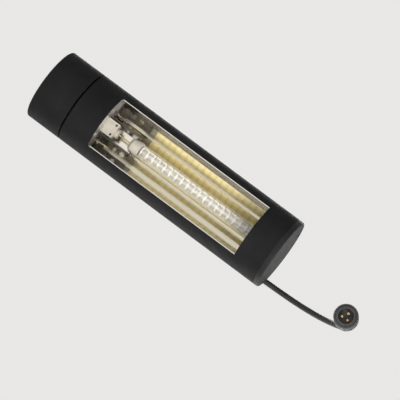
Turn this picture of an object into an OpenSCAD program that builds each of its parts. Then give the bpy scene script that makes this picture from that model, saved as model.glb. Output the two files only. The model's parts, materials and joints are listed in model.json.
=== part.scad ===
// Cylindrical infrared lamp that clamps under a parasol strut.
// +X runs along the lamp towards its outer end cap, +Z is up and the window
// faces down. The origin is the middle of the seat that meets the underside
// of the strut; the strut itself runs along X above it.

/* [Lamp body] */
// Outside diameter of the lamp housing
lamp_d = 86; // [84:1:90]
// Overall length of the lamp from end face to end face
lamp_l = 320; // [320:2:340]
// Wall thickness of the housing tube
wall = 2.5; // [2:0.1:3]
// Visible length of the outer end cap
cap_l = 43; // [40:1:48]
// Width of the dark seam between outer cap and housing
seam = 2.4; // [1:0.2:2.4]
// Height of the lamp's axis below the strut seat
axis_drop = 70; // [70:1:76]

/* [Window] */
// Distance from the outer end face to the window
window_in = 80; // [80:1:84]
// Length of the window along the lamp
window_l = 202; // [190:1:204]
// Width of the window across the lamp
window_w = 66; // [60:1:66]

/* [Quartz tube] */
// Outside diameter of the quartz tube
tube_d = 15; // [13:0.5:16]
// Height of the quartz tube above the lamp's axis
tube_up = 4; // [2:1:5]
// Distance between the filament's support rings
ring_pitch = 8; // [7:0.5:10]

/* [Strut clamp] */
// Width of the strut that the seat takes
strut_w = 15; // [12:0.5:16]
// Height of the strut under the closed cap
strut_h = 20; // [18:1:24]
// Length of the seat along the strut
seat_l = 44; // [40:1:44]
// Height of the tilt axis below the seat
pivot_drop = 15; // [15:0.5:16]

/* [Cable] */
// Outside diameter of the supply cable
cable_d = 6.5; // [6:0.5:7]

/* [Hidden] */
$fn = 64;
zc = -axis_drop;
R = lamp_d / 2;
Ri = R - wall;
x_out = lamp_l / 2;
x_in = -lamp_l / 2;
x_cap = x_out - cap_l;
x_tube1 = x_cap - seam;
end_t = 6;
x_tube0 = x_in + end_t;
win1 = x_out - window_in;
win0 = win1 - window_l;
bulk1 = win1 + 3;
bulk0 = win0 - 4;
half_w = window_w / 2;
pz = -pivot_drop;
knob_y = 17;
cap_z = strut_h + 2;
// folded reflector, half profile from lip to crown: across, up from the axis
FOLD = [[half_w - 1, -23.4], [half_w - 2.2, -12], [29, 1.1], [18, 14], [8, 20]];
FOLD_T = 0.8;
// screw ports run the length of the housing at these angles
PORTS = [25, 90, 155];
port_r = 35.4;
// supply cable
entry_a = 122;
boss_x = x_out - 142.5;
clip_a = 130;
entry_x = 71.5;
gland_r = 52;
clip_x = x_in + 22;
gy = gland_r * cos(entry_a);
gz = zc + gland_r * sin(entry_a);
cy = 47.6 * cos(clip_a);
cz = zc + 47.6 * sin(clip_a);
plug_x = x_in - 113;
plug_y = -28;
plug_z = -206;
// a point x along the housing, r from the lamp's axis, at angle a around it
function along(x, r, a) = [x, r * cos(a), zc + r * sin(a)];
CABLE_ROUTE = [[boss_x + 23.5, gy, gz], [boss_x + 9.5, gy, gz], [boss_x - 6.5, gy, gz], [boss_x - 23.5, gy, gz],
    along(boss_x - 45.5, 51.9, 122.4), along(boss_x - 69.5, 51.1, 123.8), along(boss_x - 93.5, 49.9, 126), along(x_in + 61, 48.6, 128.4),
    along(x_in + 43, 47.7, 129.8), along(x_in + 29, 47.6, clip_a), along(x_in + 14, 47.6, clip_a),
    [x_in - 2, cy, cz - 0.6], [x_in - 20, cy + 0.2, cz - 3.6], [x_in - 39, -30.2, -43.5], [x_in - 59, -29.8, -56],
    [x_in - 77, -29.2, -74], [x_in - 92, -28.6, -97], [x_in - 103, -28.2, -123], [x_in - 109.5, -28, -150],
    [x_in - 112.5, -28, -176], [plug_x, plug_y, -194], [plug_x, plug_y, plug_z]];

// ---------- helpers ----------
// cylinder along X between two stations
module xcyl(r, x0, x1) translate([x0, 0, 0]) rotate([0, 90, 0]) cylinder(r = r, h = x1 - x0);
// ring along X between two stations
module xring(ro, ri, x0, x1) difference() { xcyl(ro, x0, x1); xcyl(ri, x0 - 1, x1 + 1); }
// cone along X
module xcone(r0, r1, x0, x1) translate([x0, 0, 0]) rotate([0, 90, 0]) cylinder(r1 = r0, r2 = r1, h = x1 - x0);
// moves children to the lamp's axis
module on_axis() translate([0, 0, zc]) children();
// local +Z points away from the lamp's axis at angle a, seen along the lamp
module outward(x, a) translate([x, 0, zc]) rotate([a - 90, 0, 0]) children();
// plate with four round corners, centred in plan
module plate(lx, ly, z0, z1, r) translate([0, 0, z0]) linear_extrude(z1 - z0) {
    square([lx - 2 * r, ly], center = true);
    square([lx, ly - 2 * r], center = true);
    for (i = [-1, 1], j = [-1, 1]) translate([i * (lx / 2 - r), j * (ly / 2 - r)]) circle(r, $fn = 32);
}
// box between two corners
module span(a, b) translate(a) cube(b - a);
// upright pan-head screw with a cross recess: head underside at z = 0
module pan_screw(d, l, hd, hh) difference() {
    union() {
        translate([0, 0, -l]) cylinder(d = d, h = l + 0.01, $fn = 32);
        cylinder(d = hd, h = hh * 0.6, $fn = 32);
        translate([0, 0, hh * 0.6]) cylinder(d1 = hd, d2 = hd * 0.7, h = hh * 0.4, $fn = 32);
    }
    translate([-hd * 0.28, -0.4, hh * 0.4]) cube([hd * 0.56, 0.8, hh]);
    translate([-0.4, -hd * 0.28, hh * 0.4]) cube([0.8, hd * 0.56, hh]);
}

// swept round tube along a route
function v_unit(v) = v / norm(v);
function route_dir(p, i) = let(n = len(p) - 1) v_unit(i == 0 ? p[1] - p[0] : i == n ? p[n] - p[n - 1] : v_unit(p[i + 1] - p[i]) + v_unit(p[i] - p[i - 1]));
// smooth subdivision of a route into k steps per span
function smooth(p, k) = let(n = len(p) - 1) concat([for (i = [0:n - 1], j = [0:k - 1])
    let(t = j / k, a = i > 0 ? p[i - 1] : 2 * p[0] - p[1], b = p[i], c = p[i + 1], d = i < n - 1 ? p[i + 2] : 2 * p[n] - p[n - 1])
    0.5 * ((2 * b) + (c - a) * t + (2 * a - 5 * b + 4 * c - d) * t * t + (3 * b - a - 3 * c + d) * t * t * t)], [p[n]]);
function carry(p, i, u0) = i == 0 ? [u0] : let(prev = carry(p, i - 1, u0), t = route_dir(p, i), u = prev[len(prev) - 1]) concat(prev, [v_unit(u - (u * t) * t)]);
module swept(p, r, sides, up) {
    n = len(p);
    t0 = route_dir(p, 0);
    us = carry(p, n - 1, v_unit(up - (up * t0) * t0));
    pts = [for (i = [0:n - 1]) let(t = route_dir(p, i), u = us[i], w = cross(t, u)) for (j = [0:sides - 1]) let(a = 360 * j / sides) p[i] + r * (cos(a) * u + sin(a) * w)];
    caps = [[for (j = [0:sides - 1]) j], [for (j = [sides - 1:-1:0]) (n - 1) * sides + j]];
    walls = [for (i = [0:n - 2], j = [0:sides - 1]) let(k = (j + 1) % sides) [i * sides + k, i * sides + j, (i + 1) * sides + j, (i + 1) * sides + k]];
    polyhedron(points = pts, faces = concat(caps, walls), convexity = 10);
}

// ---------- strut clamp ----------
module clamp_base() color([0.16, 0.16, 0.17]) difference() {
    union() {
        plate(seat_l, 46, -7, -2, 4);
        for (s = [-1, 1]) intersection() {
            plate(seat_l, 46, -7, 8, 4);
            translate([0, s * 17, 0]) cube([seat_l, 2 * (17 - strut_w / 2 - 1.5), 30], center = true);
        }
        // pivot lug under the seat
        translate([0, 0, pz]) xcyl(7, -14, 14);
        span([-14, -7, pz], [14, 7, -6.5]);
    }
    translate([0, 0, pz]) xcyl(3.05, -20, 20);
    for (s = [-1, 1]) translate([0, s * knob_y, -10]) cylinder(r = 4.5, h = 30);
    // lightening pockets in the cheeks
    for (s = [-1, 1], i = [-1, 1]) translate([i * 14, s * 17, 4]) cylinder(r = 3.2, h = 10);
}
module seat_liner() color([0.09, 0.09, 0.09]) {
    span([-seat_l / 2, -strut_w / 2 - 1.5, -2], [seat_l / 2, strut_w / 2 + 1.5, 0]);
    for (s = [-1, 1]) translate([0, s * (strut_w / 2 + 0.75), 3.5]) cube([seat_l, 1.5, 7.02], center = true);
}
module thread_inserts() color([0.78, 0.62, 0.3]) for (s = [-1, 1]) translate([0, s * knob_y, -7]) difference() {
    cylinder(r = 4.5, h = 15.5);
    translate([0, 0, -1]) cylinder(r = 3.05, h = 18);
}
module friction_washers() color([0.75, 0.75, 0.76]) translate([0, 0, pz]) {
    xring(6.8, 3.3, 14, 14.5);
    xring(6.8, 3.3, -14.5, -14);
}
module clamp_cap() color([0.16, 0.16, 0.17]) difference() {
    union() {
        plate(34, 54, cap_z, cap_z + 5, 6);
        // stiffening rib over the strut
        plate(34, 12, cap_z + 4, cap_z + 9, 3);
        // side skirts that keep the cap square on the strut
        for (s = [-1, 1]) translate([0, s * (strut_w / 2 + 2.3), cap_z - 4]) cube([30, 3, 9], center = true);
    }
    for (s = [-1, 1]) translate([0, s * knob_y, cap_z - 10]) cylinder(r = 3.4, h = 30);
}
module cap_pad() color([0.09, 0.09, 0.09]) span([-15, -strut_w / 2, strut_h], [15, strut_w / 2, cap_z]);
module cap_washers() color([0.75, 0.75, 0.76]) for (s = [-1, 1]) translate([0, s * knob_y, cap_z + 5]) difference() {
    cylinder(r = 7, h = 1.2);
    translate([0, 0, -1]) cylinder(r = 3.4, h = 4);
}
module clamp_stud(s) translate([0, s * knob_y, 0]) {
    translate([0, 0, -6]) cylinder(r = 3, h = cap_z + 30);
    translate([0, 0, cap_z + 6.5]) cylinder(r = 6, h = 2.5);
}
// seven-lobed hand knob on its stud
module lobed_knob(s) translate([0, s * knob_y, cap_z + 9]) difference() {
    union() {
        cylinder(r = 7.5, h = 4);
        translate([0, 0, 3]) cylinder(r = 12, h = 9);
        translate([0, 0, 12]) cylinder(r1 = 12, r2 = 9.5, h = 2.5);
    }
    for (i = [0:6]) rotate([0, 0, i * 360 / 7]) translate([13.6, 0, 2]) cylinder(r = 3.6, h = 16, $fn = 32);
    translate([0, 0, -1]) cylinder(r = 3, h = 13.001);
}
module stud_a() color([0.72, 0.72, 0.73]) difference() { clamp_stud(1); translate([0, knob_y, cap_z + 21]) cylinder(r = 8, h = 20); }
module knob_a() color([0.1, 0.1, 0.1]) lobed_knob(1);
module stud_b() color([0.72, 0.72, 0.73]) difference() { clamp_stud(-1); translate([0, -knob_y, cap_z + 21]) cylinder(r = 8, h = 20); }
module knob_b() color([0.1, 0.1, 0.1]) lobed_knob(-1);
module tilt_nut() color([0.5, 0.5, 0.52]) translate([0, 0, pz]) difference() {
    union() {
        xcyl(5.5, -24.3, -22.6);
        xcyl(7.2, -33, -24.3);
        xcone(5.8, 7.2, -34.4, -33);
    }
    xcyl(3.05, -40, -20);
    for (i = [0:11]) rotate([i * 30, 0, 0]) translate([0, 7.7, 0]) xcyl(1, -36, -25, $fn = 24);
}

// ---------- saddle ----------
module saddle() color([0.16, 0.16, 0.17]) difference() {
    union() {
        intersection() {
            on_axis() xcyl(R + 3.5, -46, 46);
            plate(90, 36, zc + R - 8, 0, 8);
        }
        for (s = [-1, 1]) {
            translate([0, 0, pz]) xcyl(7, s > 0 ? 14.8 : -22, s > 0 ? 22 : -14.8);
            span([s > 0 ? 14.8 : -22, -7, zc + R + 1], [s > 0 ? 22 : -14.8, 7, pz]);
        }
    }
    on_axis() xcyl(R + 1, -60, 60, $fn = 128);
    translate([0, 0, pz]) xcyl(3.05, -40, 40);
    // seats and holes of the four saddle screws
    for (i = [-1, 1], j = [-1, 1]) translate([i * 36, j * 10, 0]) {
        translate([0, 0, zc + R - 6]) cylinder(r = 2.15, h = 20, $fn = 32);
        translate([0, 0, zc + R + 1.6]) cylinder(r = 4.4, h = 20, $fn = 32);
    }
}
module saddle_gasket() color([0.55, 0.2, 0.14]) difference() {
    intersection() {
        on_axis() xring(R + 0.95, R + 0.05, -47, 47, $fn = 128);
        plate(94, 38, zc + R - 8, 0, 9);
    }
    for (i = [-1, 1], j = [-1, 1]) translate([i * 36, j * 10, -50]) cylinder(r = 2.15, h = 50, $fn = 32);
}
module saddle_screws() color([0.72, 0.72, 0.73]) for (i = [-1, 1], j = [-1, 1])
    translate([i * 36, j * 10, zc + R + 1.6]) pan_screw(4, 11, 7.6, 2.6);
module saddle_nuts() color([0.72, 0.72, 0.73]) for (i = [-1, 1], j = [-1, 1])
    translate([i * 36, j * 10, 0]) difference() {
        translate([0, 0, zc + 35]) cylinder(r = 4, h = 3, $fn = 6);
        translate([0, 0, zc + 30]) cylinder(r = 2.01, h = 12, $fn = 32);
    }
module pivot_bolt() color([0.72, 0.72, 0.73]) translate([0, 0, pz]) difference() {
    union() { xcyl(3, -36.5, 22.5); xcyl(5.8, 22, 26, $fn = 6); }
    xcyl(2.2, 23.5, 30, $fn = 6);
}

// ---------- housing ----------
module port(a) outward(0, a) difference() {
    span([x_tube0 + 0.5, -3.4, port_r - 3.4], [x_tube1 - 0.5, 3.4, Ri + 0.6]);
    translate([0, 0, port_r]) xcyl(1.7, -200, 200, $fn = 24);
}
module housing_tube() color([0.15, 0.15, 0.16]) difference() {
    union() {
        on_axis() xring(R, Ri, x_tube0, x_tube1, $fn = 128);
        for (a = PORTS) port(a);
    }
    span([win0, -half_w, zc - R - 5], [win1, half_w, zc - 15]);
    // the ports stop short of the end cap spigots
    for (a = PORTS) outward(0, a) {
        span([x_tube1 - 12, -8, 30], [x_tube1 + 5, 8, Ri]);
        span([x_tube0 - 5, -8, 30], [x_tube0 + 7, 8, Ri]);
    }
    for (i = [-1, 1], j = [-1, 1]) translate([i * 36, j * 10, zc + 30]) cylinder(r = 2.15, h = 20, $fn = 32);
    outward(boss_x + entry_x, entry_a) translate([0, 0, 30]) cylinder(r = 4.4, h = 20);
    outward(clip_x, clip_a - 14.5) translate([0, 0, 30]) cylinder(r = 1.65, h = 20, $fn = 24);
    for (s = [-1, 1]) outward(boss_x + 83.5, entry_a) translate([0, s * 7, 30]) cylinder(r = 1.65, h = 20, $fn = 24);
    for (a = [20, 90, 160]) outward(x_tube1 - 6, a) {
        translate([0, 0, 30]) cylinder(r = 1.65, h = 20, $fn = 24);
        translate([0, 0, R - 0.5]) cylinder(r = 3, h = 5);
    }
}
// cup with a rounded rim and a spigot that enters the housing
module outer_cap() color([0.14, 0.14, 0.15]) on_axis() difference() {
    rotate([0, 90, 0]) rotate_extrude($fn = 128) polygon(concat(
        [[0, x_out], [R - 2, x_out]],
        [for (a = [80:-10:10]) [R - 2 + 2 * cos(a), x_out - 2 + 2 * sin(a)]],
        [[R, x_out - 2], [R, x_cap], [Ri - 0.2, x_cap], [Ri - 0.2, x_tube1 - 11], [Ri - 3.2, x_tube1 - 11], [Ri - 3.2, x_out - 4], [0, x_out - 4]]));
    for (a = [20, 90, 160]) rotate([a - 90, 0, 0]) translate([x_tube1 - 6, 0, 30]) cylinder(r = 1.5, h = 20, $fn = 24);
}
module cap_gasket() color([0.03, 0.03, 0.03]) on_axis() xring(R - 2, Ri - 0.2, x_tube1, x_cap, $fn = 128);
module outer_cap_screws() color([0.3, 0.3, 0.31]) for (a = [20, 90, 160]) outward(x_tube1 - 6, a) translate([0, 0, R - 0.5]) pan_screw(2.9, 5, 5.6, 1.6);
module inner_cap() color([0.14, 0.14, 0.15]) on_axis() difference() {
    rotate([0, 90, 0]) rotate_extrude($fn = 128) polygon(concat(
        [[0, x_in], [R - 2, x_in]],
        [for (a = [80:-10:10]) [R - 2 + 2 * cos(a), x_in + 2 - 2 * sin(a)]],
        [[R, x_in + 2], [R, x_tube0], [Ri - 0.2, x_tube0], [Ri - 0.2, x_tube0 + 1.4], [Ri - 1.8, x_tube0 + 1.4], [Ri - 1.8, x_tube0 + 4.2],
         [Ri - 0.2, x_tube0 + 4.2], [Ri - 0.2, x_tube0 + 6], [Ri - 3, x_tube0 + 6], [Ri - 3, x_tube0 - 2], [0, x_tube0 - 2]]));
    for (a = PORTS) rotate([a - 90, 0, 0]) translate([0, 0, port_r]) { xcyl(2.1, x_in - 1, x_tube0 + 10, $fn = 32); xcyl(3.9, x_in - 1, x_in + 1.8, $fn = 32); }
}
module inner_o_ring() color([0.05, 0.05, 0.05]) on_axis() rotate([0, 90, 0]) rotate_extrude($fn = 128) translate([Ri - 1.0, x_tube0 + 2.8]) circle(r = 0.8, $fn = 16);
module inner_cap_screws() color([0.3, 0.3, 0.31]) for (a = PORTS) outward(0, a) translate([x_in + 1.8, 0, port_r]) rotate([0, -90, 0]) pan_screw(3.3, 14, 6.6, 1.5);

// ---------- reflector and quartz tube ----------
function fold_line(off) = concat(
    [for (i = [0:len(FOLD) - 1]) [FOLD[i][0] + off * (i < 2 ? 1 : i == 2 ? 0.85 : i == 3 ? 0.6 : 0.15), FOLD[i][1] + off * (i < 2 ? 0 : i == 2 ? 0.5 : i == 3 ? 0.8 : 1)]],
    [for (i = [len(FOLD) - 1:-1:0]) [-FOLD[i][0] - off * (i < 2 ? 1 : i == 2 ? 0.85 : i == 3 ? 0.6 : 0.15), FOLD[i][1] + off * (i < 2 ? 0 : i == 2 ? 0.5 : i == 3 ? 0.8 : 1)]]);
function turned(l) = [for (i = [len(l) - 1:-1:0]) l[i]];
module reflector() color([0.86, 0.86, 0.87]) on_axis() translate([bulk0 + 1, 0, 0]) rotate([90, 0, 90]) linear_extrude(bulk1 - bulk0 - 1)
    polygon(concat(fold_line(0), turned(fold_line(-FOLD_T))));
// sheet partition that closes the tube at one end of the reflector
module partition(x0, x1) difference() {
    on_axis() xcyl(Ri - 0.2, x0, x1, $fn = 128);
    for (a = PORTS) outward(0, a) span([x0 - 1, -3.6, port_r - 3.6], [x1 + 1, 3.6, Ri + 2]);
}
module bulkhead_outer() color([0.8, 0.8, 0.81]) difference() {
    partition(bulk1, bulk1 + 1);
    translate([0, 0, zc + tube_up]) xcyl(2.5, bulk1 - 1, bulk1 + 3, $fn = 32);
    translate([0, -14, zc + 28]) xcyl(4.5, bulk1 - 1, bulk1 + 3, $fn = 32);
    translate([0, 26, zc + 4]) xcyl(1.55, bulk1 - 1, bulk1 + 3, $fn = 32);
}
module bulkhead_inner() color([0.8, 0.8, 0.81]) difference() {
    partition(bulk0, bulk0 + 1);
    translate([0, 0, zc + tube_up]) xcyl(tube_d / 2 + 0.4, bulk0 - 1, bulk0 + 3);
    translate([0, -14, zc + 28]) xcyl(3, bulk0 - 1, bulk0 + 3, $fn = 32);
}
tube_x1 = win1 - 42;
tube_x0 = bulk0 - 8;
module at_tube() translate([0, 0, zc + tube_up]) children();
module quartz_tube() color([0.93, 0.88, 0.7, 0.6]) at_tube() xring(tube_d / 2, tube_d / 2 - 1.1, tube_x0, tube_x1, $fn = 96);
module filament() color([0.95, 0.9, 0.75]) at_tube() {
    xcyl(2.4, tube_x0 + 2, tube_x1 - 2, $fn = 32);
    for (x = [tube_x0 + 6:ring_pitch:tube_x1 - 4]) xcyl(tube_d / 2 - 1.5, x, x + 0.7, $fn = 32);
}
module tube_ceramics() color([0.92, 0.9, 0.84]) at_tube() {
    difference() {
        union() { xcyl(tube_d / 2 + 1, tube_x1 - 3, tube_x1 + 8); xcone(tube_d / 2 + 1, tube_d / 2 - 2, tube_x1 + 8, tube_x1 + 11); }
        xcyl(tube_d / 2, tube_x1 - 4, tube_x1); xcyl(0.9, tube_x1 - 1, tube_x1 + 20, $fn = 24);
    }
    difference() {
        union() { xcyl(tube_d / 2 + 1, tube_x0 - 8, tube_x0 + 3); xcone(tube_d / 2 - 2, tube_d / 2 + 1, tube_x0 - 11, tube_x0 - 8); }
        xcyl(tube_d / 2, tube_x0, tube_x0 + 4); xcyl(0.9, tube_x0 - 20, tube_x0 + 1, $fn = 24);
    }
}
module tube_leads() color([0.85, 0.7, 0.35]) at_tube() {
    xcyl(0.9, tube_x1, win1 - 9, $fn = 24);
    xcyl(0.9, tube_x0 - 14, tube_x0, $fn = 24);
}
module lamp_socket() color([0.9, 0.88, 0.82]) at_tube() difference() {
    union() {
        span([win1 - 11, -9, -7], [bulk1, 9, 7]);
        xcyl(5.5, win1 - 15, win1 - 11);
    }
    xcyl(0.9, win1 - 16, win1 - 9, $fn = 24);
    xcyl(2.5, win1 - 9, bulk1 + 1, $fn = 32);
    for (s = [-1, 1]) translate([win1 - 8, s * 6, -10]) cylinder(r = 1.3, h = 20, $fn = 24);
}
// sheet fork either side of the socket that steadies the outer ceramic
module outer_holder() color([0.2, 0.19, 0.18]) at_tube() difference() {
    union() {
        for (s = [-1, 1]) {
            translate([0, s * 11.4, 0]) span([tube_x1 + 3, -0.6, -6.5], [bulk1, 0.6, 6.5]);
            // pads bent in against the ceramic
            span([tube_x1 + 3, s > 0 ? 8.7 : -12, -6.5], [tube_x1 + 4.2, s > 0 ? 12 : -8.7, 6.5]);
            // feet on the partition
            span([bulk1 - 1.2, s > 0 ? 10.8 : -19, -6.5], [bulk1, s > 0 ? 19 : -10.8, 6.5]);
        }
        // strap under the top of the socket that joins the two arms
        span([win1 - 7, -12, 7.3], [win1 + 1, 12, 8.5]);
        for (s = [-1, 1]) span([win1 - 7, s * 11.4 - 0.6, 5], [win1 + 1, s * 11.4 + 0.6, 8.5]);
    }
    for (s = [-1, 1]) {
        translate([win1 - 24, s * 11.4, 0]) rotate([90, 0, 0]) cylinder(r = 3.2, h = 4, center = true, $fn = 32);
        translate([win1 - 14, s * 11.4, 0]) rotate([90, 0, 0]) cylinder(r = 2.2, h = 4, center = true, $fn = 32);
        translate([0, s * 15.5, 0]) xcyl(1.7, bulk1 - 3, bulk1 + 2, $fn = 24);
    }
}
module lamp_holder() color([0.7, 0.7, 0.71]) at_tube() {
    // spring clip round the inner ceramic, on a foot fixed to the partition
    difference() {
        xcyl(tube_d / 2 + 2, tube_x0 - 6, tube_x0);
        xcyl(tube_d / 2 + 1, tube_x0 - 7, tube_x0 + 1);
        span([tube_x0 - 7, -4, -20], [tube_x0 + 1, 4, 0]);
    }
    difference() {
        span([tube_x0 - 6, -6, tube_d / 2 + 1.4], [bulk0, 6, tube_d / 2 + 2.6]);
        xcyl(tube_d / 2 + 1.2, tube_x0 - 7, bulk0 + 1);
    }
    span([bulk0 - 1, -6, tube_d / 2 + 1.4], [bulk0, 6, tube_d / 2 + 12]);
}

// ---------- wiring ----------
module wiring_shelf() color([0.78, 0.78, 0.79]) on_axis() {
    span([bulk1 + 1, -24, -13], [bulk1 + 24, 24, -12]);
    span([bulk1 + 1, -24, -13], [bulk1 + 2, 24, -4]);
}
module terminal_block() color([0.9, 0.88, 0.82]) on_axis() difference() {
    span([bulk1 + 5, -20, -12], [bulk1 + 22, 20, 2]);
    for (y = [-13, 0, 13]) {
        translate([0, y, -5]) xcyl(2.2, bulk1, bulk1 + 40, $fn = 24);
        for (x = [bulk1 + 9.5, bulk1 + 17.5]) translate([x, y, -4]) cylinder(r = 2.2, h = 10, $fn = 24);
    }
    for (y = [-6.5, 6.5]) span([bulk1 + 4, y - 0.6, -1], [bulk1 + 30, y + 0.6, 5]);
}
module terminal_screws() color([0.78, 0.62, 0.3]) on_axis() for (y = [-13, 0, 13], x = [bulk1 + 9.5, bulk1 + 17.5]) translate([x, y, -3]) difference() {
    cylinder(r = 2.1, h = 4, $fn = 24);
    translate([-3, -0.4, 3]) cube([6, 0.8, 3]);
}
module thermal_cutout() color([0.2, 0.2, 0.22]) translate([0, 15, zc + 14]) {
    xcyl(8, bulk1 + 1, bulk1 + 3);
    xcyl(6.5, bulk1 + 3, bulk1 + 9);
    for (s = [-1, 1]) span([bulk1 + 9, s * 3 - 0.4 - 1.5, -2], [bulk1 + 15, s * 3 + 0.4 + 1.5, -1.2]);
}
module live_wire() color([0.85, 0.85, 0.82]) swept(smooth([[bulk1 + 9, 0, zc - 5], [bulk1 + 4.4, 0, zc - 4.6], [bulk1 + 3.2, 0, zc - 1], [bulk1 + 1.6, 0, zc + 2.6], [win1 - 6, 0, zc + tube_up]], 3), 1.1, 8, [0, 1, 0]);
module neutral_wire() color([0.85, 0.85, 0.82]) swept(smooth([[bulk1 + 9, -13, zc - 5], [bulk1 + 4, -13, zc - 4], [bulk1 + 5, -13.5, zc + 14], [bulk1 + 4, -14, zc + 26],
    [bulk1 - 8, -14, zc + 28], [40, -14, zc + 28], [-20, -14, zc + 28], [-80, -14, zc + 28], [bulk0 + 4, -14, zc + 28], [bulk0 - 8, -14, zc + 27],
    [tube_x0 - 10, -11, zc + 18], [tube_x0 - 14, -3, zc + tube_up + 3], [tube_x0 - 13.6, 0, zc + tube_up + 0.4]], 2), 1.2, 8, [0, 1, 0]);
module earth_wire() color([0.35, 0.6, 0.2]) swept(smooth([[bulk1 + 9, 13, zc - 5], [bulk1 + 3.6, 13, zc - 5], [bulk1 + 2.8, 17, zc - 3], [bulk1 + 2.6, 22, zc + 2.6], [bulk1 + 2.4, 24, zc + 4]], 3), 1.1, 8, [0, 0, 1]);
module earth_screw() color([0.72, 0.72, 0.73]) translate([bulk1 + 1, 26, zc + 4]) rotate([0, 90, 0]) pan_screw(3, 0.9, 6, 2.2);
module grommet() color([0.08, 0.08, 0.08]) translate([0, -14, zc + 28]) difference() {
    union() { xcyl(4.5, bulk1 - 0.2, bulk1 + 1.2, $fn = 32); xcyl(6, bulk1 + 1, bulk1 + 2.4, $fn = 32); xcyl(6, bulk1 - 1.4, bulk1, $fn = 32); }
    xcyl(1.9, bulk1 - 4, bulk1 + 5, $fn = 32);
}

// ---------- cable entry ----------
module entry_boss() color([0.14, 0.14, 0.15]) outward(boss_x, entry_a) difference() {
    union() {
        intersection() {
            translate([70.25, 0, 0]) plate(43.5, 24, 40, R + 5, 5);
            xcyl(R + 4, 30, 100, $fn = 128);
        }
        translate([0, 0, gland_r]) { xcyl(9.4, 48.5, 70); translate([70, 0, 0]) sphere(r = 9.4); }
        span([48.5, -9.2, R], [70, 9.2, gland_r]);
        translate([70, 0, R - 1]) cylinder(r = 9.2, h = gland_r - R + 1);
    }
    xcyl(R + 0.8, 20, 110, $fn = 128);
    translate([0, 0, gland_r]) xcyl(6, 40, entry_x);
    translate([entry_x, 0, 30]) cylinder(r = 4.4, h = gland_r - 30);
    for (s = [-1, 1]) translate([83.5, s * 7, 30]) {
        cylinder(r = 1.7, h = 30, $fn = 24);
        translate([0, 0, R + 2.6 - 30]) cylinder(r = 3.2, h = 20, $fn = 32);
    }
}
module boss_gasket() color([0.05, 0.05, 0.05]) outward(boss_x, entry_a) difference() {
    intersection() {
        translate([70.25, 0, 0]) plate(43.5, 24, 38, R + 5, 5);
        xring(R + 0.75, R + 0.05, 30, 100, $fn = 128);
    }
    translate([entry_x, 0, 30]) cylinder(r = 4.4, h = 30);
    for (s = [-1, 1]) translate([83.5, s * 7, 30]) cylinder(r = 1.7, h = 30, $fn = 24);
}
module boss_screws() color([0.3, 0.3, 0.31]) outward(boss_x, entry_a) for (s = [-1, 1]) translate([83.5, s * 7, R + 2.6]) pan_screw(3.2, 7.5, 6, 2);
module gland_body() color([0.1, 0.1, 0.1]) outward(boss_x, entry_a) translate([0, 0, gland_r]) difference() {
    union() { xcyl(5.95, 44, 60); xcyl(8.6, 43.2, 48.4, $fn = 6); xcyl(7, 36, 43.2); }
    xcyl(3.6, 30, 70);
}
module gland_seal() color([0.06, 0.06, 0.06]) outward(boss_x, entry_a) translate([0, 0, gland_r]) xring(5.6, 3.5, 32, 36);
module gland_nut() color([0.1, 0.1, 0.1]) outward(boss_x, entry_a) translate([0, 0, gland_r]) difference() {
    union() { xcyl(8.7, 33, 42.8, $fn = 12); xcone(6.6, 8.4, 29, 33); }
    xcyl(7.05, 36, 50);
    xcyl(5.6, 31, 37);
    xcyl(4.7, 20, 40);
}
module cable_boot() color([0.07, 0.07, 0.07]) outward(boss_x, entry_a) translate([0, 0, gland_r]) difference() {
    union() {
        xcyl(4.7, 24, 31);
        xcone(4.1, 6.4, 6.5, 29);
        for (i = [0:4]) xcyl(5.4 + i * 0.42, 8 + i * 4.3, 9.8 + i * 4.3);
    }
    xcyl(cable_d / 2 - 0.05, 0, 40);
}
module cable() color([0.06, 0.06, 0.06]) swept(smooth(CABLE_ROUTE, 3), cable_d / 2, 8, [0, 0, 1]);
module cable_clip() color([0.1, 0.1, 0.1]) outward(clip_x, clip_a) difference() {
    union() {
        translate([0, 0, 47.6]) xcyl(cable_d / 2 + 1.8, -6, 6);
        span([-6, -4.6, R - 1], [6, 4.6, 47.6]);
        // foot that wraps the housing up to the screw
        intersection() {
            xring(R + 2.4, R - 0.6, -6, 6, $fn = 128);
            span([-6, 0, 30], [6, 15.5, 50]);
        }
    }
    translate([0, 0, 47.6]) xcyl(cable_d / 2 - 0.05, -10, 10);
    xcyl(R + 0.05, -20, 20, $fn = 128);
    rotate([-14.5, 0, 0]) translate([0, 0, 30]) cylinder(r = 1.7, h = 30, $fn = 24);
}
module clip_screw() color([0.3, 0.3, 0.31]) outward(clip_x, clip_a - 14.5) translate([0, 0, R + 2.4]) pan_screw(3.2, 7, 5.8, 1.8);

// ---------- connector on the cable ----------
module on_plug() translate([plug_x, plug_y, plug_z]) children();
module connector_boot() color([0.07, 0.07, 0.07]) on_plug() difference() {
    union() {
        translate([0, 0, -14]) cylinder(r1 = 6.6, r2 = 4.2, h = 24);
        for (i = [0:3]) translate([0, 0, -10 + i * 4.6]) cylinder(r = 6.8 - i * 0.45, h = 2);
    }
    translate([0, 0, -20]) cylinder(r = cable_d / 2 - 0.05, h = 40);
}
module connector_body() color([0.1, 0.1, 0.1]) on_plug() difference() {
    union() {
        translate([0, 0, -24]) cylinder(r1 = 10.4, r2 = 8.6, h = 10);
        translate([0, 0, -54]) cylinder(r = 10.4, h = 30);
        translate([0, 0, -31]) cylinder(r = 12, h = 3);
        for (i = [0:5]) rotate([0, 0, i * 60]) translate([9, 0, -24]) cylinder(r = 1.8, h = 8, $fn = 24);
    }
    translate([0, 0, -60]) cylinder(r = 8, h = 34);
    translate([0, 0, -30]) cylinder(r = 4.6, h = 20);
}
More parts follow.
